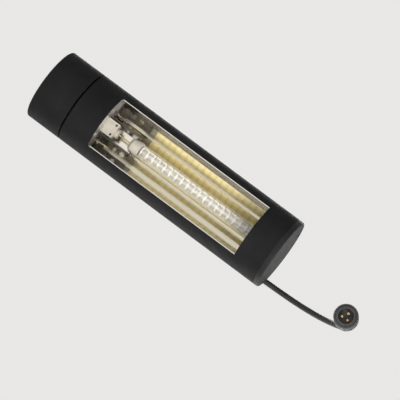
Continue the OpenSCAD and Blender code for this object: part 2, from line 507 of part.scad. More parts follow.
module coupling_ring() color([0.12, 0.12, 0.12]) on_plug() difference() {
    union() {
        translate([0, 0, -52]) cylinder(r = 13, h = 20.6);
        translate([0, 0, -53]) cylinder(r1 = 12.2, r2 = 13, h = 1);
    }
    translate([0, 0, -60]) cylinder(r = 10.75, h = 40);
    for (i = [0:11]) rotate([0, 0, i * 30]) translate([13.6, 0, -50]) cylinder(r = 1.3, h = 16, $fn = 24);
}
module connector_insert() color([0.16, 0.16, 0.17]) on_plug() difference() {
    translate([0, 0, -44]) cylinder(r = 8, h = 16);
    for (a = [90, 210, 330]) translate([4 * cos(a), 4 * sin(a), -50]) cylinder(r = 1.2, h = 30, $fn = 24);
}
module contact_pins() color([0.8, 0.66, 0.34]) on_plug() for (a = [90, 210, 330]) translate([4 * cos(a), 4 * sin(a), -49.5]) cylinder(r = 1.2, h = 21, $fn = 24);

clamp_base();
seat_liner();
thread_inserts();
friction_washers();
clamp_cap();
cap_pad();
cap_washers();
stud_a();
knob_a();
stud_b();
knob_b();
tilt_nut();
saddle();
saddle_gasket();
saddle_screws();
saddle_nuts();
pivot_bolt();
housing_tube();
outer_cap();
cap_gasket();
outer_cap_screws();
inner_cap();
inner_o_ring();
inner_cap_screws();
reflector();
bulkhead_outer();
bulkhead_inner();
quartz_tube();
filament();
tube_ceramics();
lamp_socket();
outer_holder();
lamp_holder();
tube_leads();
wiring_shelf();
terminal_block();
terminal_screws();
thermal_cutout();
live_wire();
neutral_wire();
earth_wire();
earth_screw();
grommet();
entry_boss();
boss_gasket();
boss_screws();
gland_body();
gland_seal();
gland_nut();
cable_boot();
cable();
cable_clip();
clip_screw();
connector_boot();
connector_body();
coupling_ring();
connector_insert();
contact_pins();
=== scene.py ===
import json
import math

import bmesh
import bpy
from mathutils import Matrix, Vector


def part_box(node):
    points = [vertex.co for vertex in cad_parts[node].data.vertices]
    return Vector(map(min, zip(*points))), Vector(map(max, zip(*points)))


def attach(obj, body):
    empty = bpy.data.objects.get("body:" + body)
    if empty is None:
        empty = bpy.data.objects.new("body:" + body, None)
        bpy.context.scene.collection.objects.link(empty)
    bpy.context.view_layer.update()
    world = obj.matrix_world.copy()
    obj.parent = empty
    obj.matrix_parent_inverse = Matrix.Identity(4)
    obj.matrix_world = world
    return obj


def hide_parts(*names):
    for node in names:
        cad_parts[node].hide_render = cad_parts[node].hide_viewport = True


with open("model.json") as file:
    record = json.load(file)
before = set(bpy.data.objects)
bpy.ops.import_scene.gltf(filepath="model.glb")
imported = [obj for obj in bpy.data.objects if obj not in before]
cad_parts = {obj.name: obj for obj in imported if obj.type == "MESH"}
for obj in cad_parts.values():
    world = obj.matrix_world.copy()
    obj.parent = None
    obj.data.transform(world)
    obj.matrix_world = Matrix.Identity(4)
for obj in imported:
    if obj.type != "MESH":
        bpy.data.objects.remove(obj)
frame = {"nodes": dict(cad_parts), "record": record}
scene = bpy.context.scene
nodes = frame["nodes"]


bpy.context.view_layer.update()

# ---------------------------------------------------------------- camera
# The camera looks up at the window from under the lamp, as the photograph does:
# the outer end cap is at the upper left and the cable leaves at the lower right.
LAMP = Vector((0.0, 0.0, -0.070))
TO_CAMERA = Vector((-0.165, -0.09, -0.98)).normalized()
AIM = Vector((-0.054, -0.006, -0.085))
cam_data = bpy.data.cameras.new("view_from_below")
cam_data.sensor_width = 36.0
cam_data.lens = 262.0
cam_data.clip_start = 0.1
cam_data.clip_end = 200.0
cam = bpy.data.objects.new("view_from_below", cam_data)
scene.collection.objects.link(cam)
place = LAMP + 3.2 * TO_CAMERA
forward = (AIM - place).normalized()
right = forward.cross(Vector((0.607, 0.795, 0.0))).normalized()
upward = right.cross(forward)
cam.matrix_world = Matrix.Translation(place) @ Matrix(
    (
        (right.x, upward.x, -forward.x),
        (right.y, upward.y, -forward.y),
        (right.z, upward.z, -forward.z),
    )
).to_4x4()
scene.camera = cam

# ---------------------------------------------------------------- node helpers
MM = 0.001


class Mat:
    """A procedural material: one Principled shader with helpers that wire up its textures."""

    def __init__(self, name, rough=0.5, metal=0.0, **uniform):
        self.mat = bpy.data.materials.new(name)
        self.mat.use_nodes = True
        self.t = self.mat.node_tree
        for n in list(self.t.nodes):
            self.t.nodes.remove(n)
        self.out = self.t.nodes.new("ShaderNodeOutputMaterial")
        self.p = self.t.nodes.new("ShaderNodeBsdfPrincipled")
        self.t.links.new(self.p.outputs[0], self.out.inputs[0])
        self.p.inputs["Roughness"].default_value = rough
        self.p.inputs["Metallic"].default_value = metal
        for k, v in uniform.items():
            self.p.inputs[k.replace("_", " ")].default_value = v
        self.co = self.t.nodes.new("ShaderNodeTexCoord").outputs["Object"]

    def put(self, socket, value):
        if hasattr(value, "is_output"):
            self.t.links.new(value, socket)
        elif isinstance(value, (tuple, list)) and len(value) == 3 and socket.type == "RGBA":
            socket.default_value = (*value, 1.0)
        else:
            socket.default_value = value

    def stretched(self, sx, sy, sz, spin=(0.0, 0.0, 0.0)):
        n = self.t.nodes.new("ShaderNodeMapping")
        n.inputs["Scale"].default_value = (sx, sy, sz)
        n.inputs["Rotation"].default_value = spin
        self.put(n.inputs["Vector"], self.co)
        return n.outputs[0]

    def noise(self, size, detail=3.0, rough=0.55, co=None, distort=0.0):
        """Noise whose features are about size metres."""
        n = self.t.nodes.new("ShaderNodeTexNoise")
        n.inputs["Scale"].default_value = 1.0 / size if co is None else 1.0
        n.inputs["Detail"].default_value = detail
        n.inputs["Roughness"].default_value = rough
        n.inputs["Distortion"].default_value = distort
        self.put(n.inputs["Vector"], self.co if co is None else co)
        return n.outputs["Fac"]

    def cells(self, size, co=None, feature="F1"):
        n = self.t.nodes.new("ShaderNodeTexVoronoi")
        n.feature = feature
        n.inputs["Scale"].default_value = 1.0 / size if co is None else 1.0
        self.put(n.inputs["Vector"], self.co if co is None else co)
        return n.outputs["Distance"]

    def remap(self, x, a, b, lo, hi):
        n = self.t.nodes.new("ShaderNodeMapRange")
        n.clamp = True
        self.put(n.inputs["Value"], x)
        for i, v in enumerate((a, b, lo, hi)):
            n.inputs[1 + i].default_value = v
        return n.outputs[0]

    def math(self, op, a, b=0.0, clamp=False):
        n = self.t.nodes.new("ShaderNodeMath")
        n.operation = op
        n.use_clamp = clamp
        self.put(n.inputs[0], a)
        self.put(n.inputs[1], b)
        return n.outputs[0]

    def mix(self, fac, a, b, how="MIX"):
        n = self.t.nodes.new("ShaderNodeMix")
        n.data_type = "RGBA"
        n.blend_type = how
        self.put(n.inputs[0], fac)
        self.put(n.inputs[6], a)
        self.put(n.inputs[7], b)
        return n.outputs[2]

    def axis(self, name):
        n = self.t.nodes.new("ShaderNodeSeparateXYZ")
        self.put(n.inputs[0], self.co)
        return n.outputs[name]

    def ribs(self, axis, pitch, start, power=1.0):
        """0..1 bands across an axis, one each pitch metres, 1 at start + k * pitch."""
        x = self.math("SUBTRACT", self.axis(axis), start)
        c = self.math("COSINE", self.math("MULTIPLY", x, 2 * math.pi / pitch))
        c = self.math("MULTIPLY_ADD", c, 0.5)
        self.t.nodes[-1].inputs[2].default_value = 0.5
        return self.math("POWER", c, power)

    def edge(self, radius):
        """0 on flat faces and 1 on edges that a bevel of this radius would round."""
        b = self.t.nodes.new("ShaderNodeBevel")
        b.samples = 4
        b.inputs["Radius"].default_value = radius
        g = self.t.nodes.new("ShaderNodeNewGeometry")
        d = self.t.nodes.new("ShaderNodeVectorMath")
        d.operation = "DOT_PRODUCT"
        self.put(d.inputs[0], b.outputs[0])
        self.put(d.inputs[1], g.outputs["Normal"])
        return self.remap(d.outputs["Value"], 0.995, 0.80, 0.0, 1.0)

    def upward(self):
        """0..1 with how far the face looks up."""
        g = self.t.nodes.new("ShaderNodeNewGeometry")
        s = self.t.nodes.new("ShaderNodeSeparateXYZ")
        self.put(s.inputs[0], g.outputs["Normal"])
        return self.remap(s.outputs["Z"], 0.1, 0.95, 0.0, 1.0)

    def bump(self, height, depth, strength=1.0, rounding=0.0):
        """height 0..1 stands depth metres tall; bumps stack in the order they are made."""
        n = self.t.nodes.new("ShaderNodeBump")
        n.inputs["Strength"].default_value = strength
        n.inputs["Distance"].default_value = depth
        self.put(n.inputs["Height"], height)
        if self.p.inputs["Normal"].is_linked:
            self.put(n.inputs["Normal"], self.p.inputs["Normal"].links[0].from_socket)
        elif rounding:
            b = self.t.nodes.new("ShaderNodeBevel")
            b.samples = 4
            b.inputs["Radius"].default_value = rounding
            self.put(n.inputs["Normal"], b.outputs[0])
        self.put(self.p.inputs["Normal"], n.outputs[0])

    def color(self, value):
        self.put(self.p.inputs["Base Color"], value)

    def rough(self, value):
        self.put(self.p.inputs["Roughness"], value)


def powder_coat(name, base, grain=0.55 * MM, rough=0.72, depth=0.05 * MM, gloss=0.12):
    """Fine-textured matt powder coat: a pebbled grain, faint cloudiness, dust on top, rubbed edges."""
    m = Mat(name, Specular_IOR_Level=gloss)
    cloud = m.noise(38 * MM, 4.0)
    fine = m.noise(grain, 2.0, 0.6)
    pebble = m.cells(grain * 1.6)
    dark = tuple(c * 0.86 for c in base)
    pale = tuple(min(1, c * 1.16 + 0.001) for c in base)
    col = m.mix(m.remap(cloud, 0.35, 0.68, 0.0, 1.0), dark, pale)
    speck = m.remap(m.noise(1.1 * MM, 3.0), 0.60, 0.74, 0.0, 0.35)
    col = m.mix(speck, col, tuple(c * 1.9 + 0.004 for c in base))
    dust = m.math("MULTIPLY", m.upward(), m.remap(m.noise(14 * MM, 5.0, 0.65), 0.38, 0.80, 0.0, 0.045))
    col = m.mix(dust, col, (0.22, 0.21, 0.195))
    rub = m.math("MULTIPLY", m.edge(0.5 * MM), m.remap(m.noise(5 * MM, 4.0, 0.7), 0.48, 0.66, 0.0, 0.5))
    m.color(m.mix(rub, col, (0.13, 0.13, 0.13)))
    m.rough(m.remap(m.noise(9 * MM, 4.0), 0.3, 0.7, rough - 0.07, rough + 0.09))
    m.bump(m.math("ADD", fine, m.math("MULTIPLY", pebble, 0.7)), depth, 0.55, rounding=0.45 * MM)
    return m.mat


def rubber(name, base=(0.018, 0.018, 0.018), rough=0.66, gloss=0.30, talc=0.006):
    m = Mat(name, Specular_IOR_Level=gloss)
    bloom = m.remap(m.noise(11 * MM, 5.0, 0.62), 0.42, 0.72, 0.0, 0.55)
    m.color(m.mix(bloom, tuple(c * 0.85 for c in base), tuple(c * 1.7 + talc for c in base)))
    m.rough(m.remap(m.noise(3 * MM, 4.0), 0.3, 0.7, rough - 0.10, rough + 0.08))
    m.bump(m.noise(0.35 * MM, 2.0), 0.02 * MM, 0.6, rounding=0.3 * MM)
    return m.mat


def jacket(name):
    """Extruded rubber cable jacket: faint lines along it, talc in patches, slight kinks in gloss."""
    m = Mat(name, Specular_IOR_Level=0.34)
    talc = m.remap(m.noise(8 * MM, 6.0, 0.68), 0.50, 0.80, 0.0, 0.5)
    m.color(m.mix(talc, (0.014, 0.014, 0.015), (0.045, 0.044, 0.042)))
    m.rough(m.remap(m.noise(4 * MM, 4.0), 0.3, 0.7, 0.46, 0.66))
    m.bump(m.noise(0.45 * MM, 3.0, 0.6), 0.025 * MM, 0.6)
    m.bump(m.noise(6 * MM, 2.0), 0.10 * MM, 0.25)
    return m.mat


def silicone(name):
    m = Mat(name, Specular_IOR_Level=0.4, Subsurface_Weight=0.0)
    m.color(m.mix(m.noise(6 * MM, 4.0), (0.085, 0.020, 0.014), (0.13, 0.036, 0.024)))
    m.rough(m.remap(m.noise(2 * MM, 3.0), 0.3, 0.7, 0.42, 0.60))
    m.bump(m.noise(0.5 * MM, 2.0), 0.02 * MM, 0.5)
    return m.mat


def moulded(name, base=(0.018, 0.018, 0.019), rough=0.48, grain=0.30 * MM):
    """Spark-textured polyamide."""
    m = Mat(name, Specular_IOR_Level=0.42)
    m.color(m.mix(m.remap(m.noise(16 * MM, 4.0), 0.35, 0.7, 0.0, 1.0), tuple(c * 0.8 for c in base), tuple(c * 1.5 + 0.003 for c in base)))
    scuff = m.math("MULTIPLY", m.edge(0.5 * MM), m.remap(m.noise(2.5 * MM, 4.0, 0.7), 0.45, 0.62, 0.0, 0.55))
    m.color(m.mix(scuff, m.p.inputs["Base Color"].links[0].from_socket, (0.10, 0.10, 0.10)))
    m.rough(m.remap(m.noise(5 * MM, 4.0), 0.3, 0.7, rough - 0.08, rough + 0.10))
    m.bump(m.cells(grain), 0.035 * MM, 0.5, rounding=0.4 * MM)
    m.bump(m.noise(grain * 2.2, 2.0), 0.02 * MM, 0.4)
    return m.mat


def plated(name, base=(0.60, 0.60, 0.61), dark=(0.36, 0.36, 0.37), rough=0.32, stain=(0.30, 0.25, 0.19)):
    """Zinc-plated or plain steel with drawn lines, dull patches and a little stain."""
    m = Mat(name, metal=1.0)
    dull = m.remap(m.noise(4 * MM, 5.0, 0.65), 0.35, 0.7, 0.0, 1.0)
    col = m.mix(m.math("MULTIPLY", dull, 0.6), base, dark)
    col = m.mix(m.remap(m.noise(2.2 * MM, 5.0, 0.7), 0.62, 0.80, 0.0, 0.5), col, stain)
    m.color(col)
    lines = m.noise(1.0, 3.0, 0.6, co=m.stretched(300.0, 4200.0, 4200.0))
    m.rough(m.remap(lines, 0.3, 0.7, rough - 0.08, rough + 0.16))
    m.bump(lines, 0.008 * MM, 0.5, rounding=0.25 * MM)
    return m.mat


def brass(name):
    m = Mat(name, metal=1.0)
    m.color(m.mix(m.remap(m.noise(3 * MM, 5.0, 0.65), 0.35, 0.7, 0.0, 1.0), (0.74, 0.53, 0.23), (0.46, 0.30, 0.12)))
    turned = m.noise(1.0, 2.0, 0.5, co=m.stretched(500.0, 500.0, 9000.0))
    m.rough(m.remap(turned, 0.3, 0.7, 0.20, 0.38))
    m.bump(turned, 0.008 * MM, 0.6, rounding=0.2 * MM)
    return m.mat


def mirror(name):
    """Polished folded sheet: rolling lines along it, slight waviness, straw heat tint towards the tube."""
    m = Mat(name, metal=1.0)
    lines = m.noise(1.0, 4.0, 0.55, co=m.stretched(18.0, 900.0, 900.0))
    wave = m.noise(1.0, 1.0, 0.3, co=m.stretched(22.0, 30.0, 30.0))
    z = m.remap(m.axis("Z"), -0.072, -0.050, 0.0, 1.0)
    heat = m.math("MULTIPLY", z, m.remap(m.noise(24 * MM, 3.0), 0.3, 0.7, 0.25, 0.8))
    col = m.mix(heat, (0.84, 0.825, 0.78), (0.85, 0.80, 0.65))
    spots = m.remap(m.noise(1.6 * MM, 5.0, 0.7), 0.70, 0.84, 0.0, 0.25)
    m.color(m.mix(spots, col, (0.55, 0.52, 0.47)))
    m.rough(m.remap(lines, 0.3, 0.7, 0.11, 0.19))
    m.bump(wave, 0.10 * MM, 0.5)
    m.bump(lines, 0.0012 * MM, 0.5)
    return m.mat


def sheet_metal(name, base=(0.72, 0.72, 0.715), rough=0.34):
    m = Mat(name, metal=1.0)
    lines = m.noise(1.0, 4.0, 0.6, co=m.stretched(900.0, 30.0, 900.0))
    soot = m.remap(m.noise(18 * MM, 4.0, 0.6), 0.40, 0.72, 0.0, 0.45)
    m.color(m.mix(soot, base, tuple(c * 0.55 for c in base)))
    m.rough(m.remap(lines, 0.3, 0.7, rough - 0.08, rough + 0.14))
    m.bump(lines, 0.006 * MM, 0.6, rounding=0.2 * MM)
    return m.mat


def ceramic(name, base=(0.38, 0.355, 0.305)):
    """Unglazed steatite: chalky, faintly mottled, browned where it ran hot."""
    m = Mat(name, Specular_IOR_Level=0.35)
    mottle = m.remap(m.noise(7 * MM, 5.0, 0.6), 0.35, 0.7, 0.0, 1.0)
    col = m.mix(mottle, base, tuple(c * 0.84 for c in base))
    scorch = m.remap(m.noise(4 * MM, 4.0, 0.65), 0.55, 0.78, 0.0, 0.6)
    m.color(m.mix(scorch, col, (0.42, 0.31, 0.20)))
    m.rough(m.remap(m.noise(2 * MM, 3.0), 0.3, 0.7, 0.62, 0.82))
    m.bump(m.noise(0.4 * MM, 4.0, 0.65), 0.05 * MM, 0.6, rounding=0.35 * MM)
    return m.mat


def sleeve(name, a, b, pitch=3.2 * MM, mix=0.5):
    """Braided or striped wire insulation."""
    m = Mat(name, Specular_IOR_Level=0.35)
    m.color(m.mix(m.remap(m.cells(0.8 * MM), 0.2, 0.6, 0.0, mix), a, b))
    m.rough(m.remap(m.noise(1.5 * MM, 3.0), 0.3, 0.7, 0.5, 0.75))
    m.bump(m.cells(0.5 * MM), 0.04 * MM, 0.6)
    return m.mat


def quartz(name):
    """Clear thin-walled quartz: nearly invisible face on, glossy towards its sides, faint drawn lines."""
    m = Mat(name, rough=0.03, IOR=1.458, Specular_IOR_Level=0.6)
    drawn = m.noise(1.0, 3.0, 0.5, co=m.stretched(12.0, 500.0, 500.0))
    m.color(m.mix(drawn, (0.93, 0.93, 0.91), (0.97, 0.965, 0.94)))
    m.rough(m.remap(drawn, 0.35, 0.7, 0.02, 0.06))
    facing = m.t.nodes.new("ShaderNodeLayerWeight")
    facing.inputs[0].default_value = 0.5
    veil = m.math("POWER", facing.outputs["Facing"], 3.0)
    veil = m.remap(veil, 0.0, 1.0, 0.015, 0.36)
    haze = m.remap(m.noise(9 * MM, 4.0, 0.6), 0.45, 0.75, 0.0, 0.03)
    m.put(m.p.inputs["Alpha"], m.math("ADD", veil, haze, clamp=True))
    return m.mat


RING0 = 0.0
PITCH = 8.0 * MM


def gold_coat(name, start):
    """Fired gold film on the back of the quartz: thinner in bands where the support rings touch."""
    m = Mat(name, metal=0.38)
    band = m.ribs("X", PITCH, start, 6.0)
    half = m.ribs("X", PITCH * 0.5, start, 3.0)
    film = m.remap(m.noise(5 * MM, 4.0, 0.6), 0.3, 0.7, 0.0, 1.0)
    col = m.mix(film, (1.0, 0.92, 0.60), (1.0, 0.88, 0.50))
    col = m.mix(m.math("MULTIPLY", band, 0.60), col, (0.66, 0.54, 0.27))
    col = m.mix(m.math("MULTIPLY", half, 0.25), col, (1.0, 0.94, 0.66))
    m.color(col)
    m.rough(m.remap(m.noise(2 * MM, 4.0), 0.3, 0.7, 0.46, 0.60))
    m.bump(band, 0.12 * MM, 0.6)
    return m.mat


def white_film(name, start):
    """Matt white reflecting film with darker ring marks."""
    m = Mat(name, Specular_IOR_Level=0.3)
    band = m.ribs("X", PITCH, start, 3.0)
    fine = m.ribs("X", PITCH / 4.0, start, 2.0)
    col = m.mix(m.math("MULTIPLY", band, 0.22), (0.87, 0.845, 0.775), (0.66, 0.635, 0.575))
    col = m.mix(m.math("MULTIPLY", fine, 0.05), col, (0.80, 0.78, 0.75))
    m.color(m.mix(m.remap(m.noise(9 * MM, 3.0), 0.4, 0.75, 0.0, 0.2), col, (0.79, 0.75, 0.65)))
    m.rough(m.remap(m.noise(2 * MM, 3.0), 0.3, 0.7, 0.45, 0.65))
    return m.mat


def heat_wire(name):
    m = Mat(name, metal=0.35)
    m.color(m.mix(m.remap(m.noise(3 * MM, 4.0, 0.6), 0.3, 0.7, 0.0, 1.0), (0.84, 0.82, 0.77), (0.74, 0.715, 0.66)))
    m.rough(m.remap(m.noise(0.6 * MM, 3.0), 0.3, 0.7, 0.42, 0.60))
    return m.mat


MATS = {
    "housing_coat": powder_coat("housing_coat", (0.0064, 0.0065, 0.0068), gloss=0.095),
    "cap_coat": powder_coat("cap_coat", (0.0064, 0.0065, 0.0067), grain=0.5 * MM, rough=0.70, gloss=0.095),
    "clamp_coat": powder_coat("clamp_coat", (0.0120, 0.0120, 0.0128), grain=0.8 * MM, rough=0.62, depth=0.09 * MM),
    "seal_rubber": rubber("seal_rubber"),
    "gasket_silicone": silicone("gasket_silicone"),
    "brass": brass("brass"),
    "steel": plated("steel"),
    "dark_steel": plated("dark_steel", (0.15, 0.135, 0.12), (0.055, 0.048, 0.042), 0.36, (0.20, 0.11, 0.05)),
    "black_screw": plated("black_screw", (0.085, 0.085, 0.09), (0.04, 0.04, 0.042), 0.36, (0.10, 0.08, 0.06)),
    "knob_plastic": moulded("knob_plastic", grain=0.45 * MM, rough=0.52),
    "gland_plastic": moulded("gland_plastic", (0.020, 0.020, 0.022), 0.44, 0.25 * MM),
    "mirror_sheet": mirror("mirror_sheet"),
    "partition_sheet": sheet_metal("partition_sheet"),
    "quartz": quartz("quartz"),
    "filament_wire": heat_wire("filament_wire"),
    "ceramic": ceramic("ceramic"),
    "lead_metal": plated("lead_metal", (0.86, 0.68, 0.30), (0.66, 0.48, 0.18), 0.24, (0.40, 0.25, 0.10)),
    "wire_pale": sleeve("wire_pale", (0.74, 0.72, 0.66), (0.45, 0.43, 0.38)),
    "wire_earth": sleeve("wire_earth", (0.16, 0.36, 0.06), (0.70, 0.60, 0.05), mix=1.0),
    "dark_bakelite": moulded("dark_bakelite", (0.040, 0.034, 0.030), 0.36, 0.6 * MM),
    "cable_jacket": jacket("cable_jacket"),
}
slot_of = {s["node"]: s["material_slot"] for s in frame["record"]["subparts"]}
for name, obj in nodes.items():
    m = MATS[slot_of[name]]
    if not obj.material_slots:
        obj.data.materials.append(m)
    for s in obj.material_slots:
        s.material = m
# the flat inner end cap is coated smoother than the tube, so its face catches the sky
satin = powder_coat("inner_cap_coat", (0.0085, 0.0086, 0.0089), grain=0.4 * MM, rough=0.60, depth=0.022 * MM, gloss=0.17)
for s in nodes["inner_cap"].material_slots:
    s.material = satin
# the cap's gasket lies at the bottom of a groove; it is made near-black and far duller than the other rubber, as
# painted shade for the groove
painted_shade_gasket = rubber("gasket_rubber_painted_shade", (0.0015, 0.0015, 0.0016), 0.80, 0.04, 0.0008)
for s in nodes["cap_gasket"].material_slots:
    s.material = painted_shade_gasket


# ---------------------------------------------------------------- mesh helpers
def new_mesh(name, verts, faces, material, smooth=True, extra=()):
    me = bpy.data.meshes.new(name)
    me.from_pydata([tuple(v) for v in verts], [], faces)
    me.validate()
    me.update()
    ob = bpy.data.objects.new(name, me)
    scene.collection.objects.link(ob)
    me.materials.append(material)
    for x in extra:
        me.materials.append(x)
    if smooth:
        for p in me.polygons:
            p.use_smooth = True
    return ob


def tube_along(points, radius, sides, closed=False):
    """Vertices and faces of a round tube along points, with flat ends unless closed."""
    pts = [Vector(p) for p in points]
    n = len(pts)
    dirs = []
    for i in range(n):
        a = pts[(i - 1) % n] if closed or i > 0 else pts[i]
        b = pts[(i + 1) % n] if closed or i < n - 1 else pts[i]
        dirs.append((b - a).normalized())
    u = dirs[0].orthogonal().normalized()
    verts, faces = [], []
    for i in range(n):
        d = dirs[i]
        u = (u - d * u.dot(d)).normalized()
        w = d.cross(u)
        for j in range(sides):
            t = 2 * math.pi * j / sides
            verts.append(pts[i] + radius * (math.cos(t) * u + math.sin(t) * w))
    spans = n if closed else n - 1
    for i in range(spans):
        k = (i + 1) % n
        for j in range(sides):
            l = (j + 1) % sides
            faces.append((i * sides + j, i * sides + l, k * sides + l, k * sides + j))
    if not closed:
        faces.append(tuple(range(sides - 1, -1, -1)))
        faces.append(tuple((n - 1) * sides + j for j in range(sides)))
    return verts, faces


def join(parts):
    verts, faces = [], []
    for v, f in parts:
        o = len(verts)
        verts += list(v)
        faces += [tuple(i + o for i in x) for x in f]
    return verts, faces


# ---------------------------------------------------------------- supply cable
# The same route as the CAD solid's, from just inside the tapered boot to just
# inside the connector's boot: along the gland's line, down on to the side of
# the housing, through the clip, then over in a free curve to the plug.
ZC = -70.0
GLAND_A, CLIP_A = 122.0, 130.0
X_IN, BOSS_X, PLUG = -160.0, 17.5, (-273.0, -28.0, -206.0)


def along(x, r, deg):
    a = math.radians(deg)
    return (x, r * math.cos(a), ZC + r * math.sin(a))


_, gy, gz = along(0, 52.0, GLAND_A)
_, cy, cz = along(0, 47.6, CLIP_A)
ROUTE = [
    (BOSS_X + 9.5, gy, gz), (BOSS_X - 6.5, gy, gz), (BOSS_X - 23.5, gy, gz),
    along(BOSS_X - 45.5, 51.9, 122.4), along(BOSS_X - 69.5, 51.1, 123.8), along(BOSS_X - 93.5, 49.9, 126),
    along(X_IN + 61, 48.6, 128.4), along(X_IN + 43, 47.7, 129.8), along(X_IN + 29, 47.6, CLIP_A), along(X_IN + 14, 47.6, CLIP_A),
    (X_IN - 2, cy, cz - 0.6), (X_IN - 20, cy + 0.2, cz - 3.6), (X_IN - 39, -30.2, -43.5), (X_IN - 59, -29.8, -56),
    (X_IN - 77, -29.2, -74), (X_IN - 92, -28.6, -97), (X_IN - 103, -28.2, -123), (X_IN - 109.5, -28, -150),
    (X_IN - 112.5, -28, -176), (PLUG[0], PLUG[1], -194), PLUG,
]
route = [Vector(p) * MM for p in ROUTE]
before = Vector((BOSS_X + 23.5, gy, gz)) * MM
curve = bpy.data.curves.new("supply_cable", "CURVE")
curve.dimensions = "3D"
curve.resolution_u = 10
curve.bevel_depth = 3.25 * MM
curve.bevel_resolution = 7
curve.use_fill_caps = True
spline = curve.splines.new("BEZIER")
spline.bezier_points.add(len(route) - 1)
handles = []
for i, p in enumerate(route):
    a = route[i - 1] if i else before
    b = route[i + 1] if i < len(route) - 1 else p + (p - route[i - 1])
    t = (b - a) / 2.0
    handles.append((p - t / 3.0, p, p + t / 3.0))
    q = spline.bezier_points[i]
    q.handle_left_type = q.handle_right_type = "FREE"
    q.co, q.handle_left, q.handle_right = p, p - t / 3.0, p + t / 3.0
for (_, p0, h0), (h1, p1, _) in zip(handles, handles[1:]):
    for k in range(1, 33):
        s = k / 32.0
        q = (1 - s) ** 3 * p0 + 3 * s * (1 - s) ** 2 * h0 + 3 * s * s * (1 - s) * h1 + s ** 3 * p1
cable = bpy.data.objects.new("supply_cable", curve)
scene.collection.objects.link(cable)
curve.materials.append(MATS["cable_jacket"])
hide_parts("cable")
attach(cable, "lamp")

# ---------------------------------------------------------------- quartz tube's insides
q_lo, q_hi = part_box("quartz_tube")
f_lo, f_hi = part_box("filament")
axis_y = (q_lo.y + q_hi.y) / 2
axis_z = (q_lo.z + q_hi.z) / 2
tube_r = (q_hi.z - q_lo.z) / 2
ring_x = [f_lo.x + 4 * MM + 0.35 * MM + k * PITCH for k in range(200) if f_lo.x + 4 * MM + k * PITCH <= f_hi.x - 1.5 * MM]
RING0 = ring_x[0]

# close-wound heating coil: a 0.45 mm wire at 0.75 mm pitch, 3.2 mm across
COIL_R, WIRE_R, LOOP_R = 1.38 * MM, 0.22 * MM, 5.90 * MM


def circle(x, r, count):
    return [(x, axis_y + r * math.cos(2 * math.pi * j / count), axis_z + r * math.sin(2 * math.pi * j / count)) for j in range(count)]


coil = []
TURNS_PITCH = 0.75 * MM
STEP = 10
x = f_lo.x + 1.0 * MM
turns = int((f_hi.x - f_lo.x - 2 * MM) / TURNS_PITCH)
for i in range(turns * STEP + 1):
    t = 2 * math.pi * i / STEP
    coil.append((x + TURNS_PITCH * i / STEP, axis_y + COIL_R * math.cos(t), axis_z + COIL_R * math.sin(t)))
parts = [tube_along(coil, WIRE_R, 5)]
# straight tails of the coil to the seals
for a, b in ((f_lo.x + 0.2 * MM, f_lo.x + 1.4 * MM), (f_hi.x - 1.6 * MM, f_hi.x - 0.2 * MM)):
    parts.append(tube_along([(a, axis_y + COIL_R, axis_z), (b, axis_y + COIL_R, axis_z)], 0.4 * MM, 8))
# supports: a spiral of wire that grips the coil, opens out and lies against the glass for three turns
TURN = 24
for rx in ring_x:
    spiral = []
    for j in range(5 * TURN + 1):
        t = 2 * math.pi * j / TURN
        grow = min(1.0, max(0.0, (j - 0.75 * TURN) / (1.15 * TURN)))
        r = 1.85 * MM + (LOOP_R - 1.85 * MM) * grow * grow * (3 - 2 * grow)
        spiral.append((rx - 1.25 * MM + 2.5 * MM * j / (5 * TURN), axis_y + r * math.cos(t), axis_z + r * math.sin(t)))
    parts.append(tube_along(spiral, 0.20 * MM, 6))
v, f = join(parts)
coil_obj = new_mesh("heating_coil", v, f, MATS["filament_wire"])
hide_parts("filament")
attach(coil_obj, "lamp")

# gold half coat on the back of the quartz, and the white lining that shows through the glass
gold = gold_coat("gold_half_coat", RING0)
ground = white_film("white_ground", RING0)
c_lo, c_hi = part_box("tube_ceramics")
x0, x1 = q_lo.x + 3.2 * MM, q_hi.x - 3.2 * MM
A_FROM, A_TO, SEG = math.radians(-22), math.radians(202), 56
verts, faces = [], []
NX = 220
for i in range(NX + 1):
    xx = x0 + (x1 - x0) * i / NX
    d = (xx - RING0) / PITCH
    swell = 0.05 * MM * (0.5 + 0.5 * math.cos(2 * math.pi * d)) ** 4
    for r in (tube_r + 0.03 * MM, tube_r + 0.16 * MM + swell):
        for j in range(SEG + 1):
            t = A_FROM + (A_TO - A_FROM) * j / SEG
            verts.append((xx, axis_y + r * math.cos(t), axis_z + r * math.sin(t)))
W = SEG + 1
inner, outer, rim = [], [], []
for i in range(NX):
    for j in range(SEG):
        a = (i * 2) * W + j
        b = ((i + 1) * 2) * W + j
        inner.append((a, a + 1, b + 1, b))
        a += W
        b += W
        outer.append((a, b, b + 1, a + 1))
    for j in (0, SEG):
        a, b = (i * 2) * W + j, ((i + 1) * 2) * W + j
        rim.append((a, b, b + W, a + W) if j == 0 else (a, a + W, b + W, b))
for i in (0, NX):
    for j in range(SEG):
        a = (i * 2) * W + j
        rim.append((a, a + W, a + 1 + W, a + 1) if i == 0 else (a, a + 1, a + 1 + W, a + W))
coat = new_mesh("gold_coat", verts, outer + rim + inner, gold)
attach(coat, "lamp")
# the white reflecting film lines the back of the bore
lining = []
for i in range(NX + 1):
    xx = x0 + (x1 - x0) * i / NX
    for r in (6.24 * MM, 6.34 * MM):
        for j in range(SEG + 1):
            t = A_FROM + (A_TO - A_FROM) * j / SEG
            lining.append((xx, axis_y + r * math.cos(t), axis_z + r * math.sin(t)))
film = new_mesh("white_lining", lining, outer + rim + inner, ground)
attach(film, "lamp")


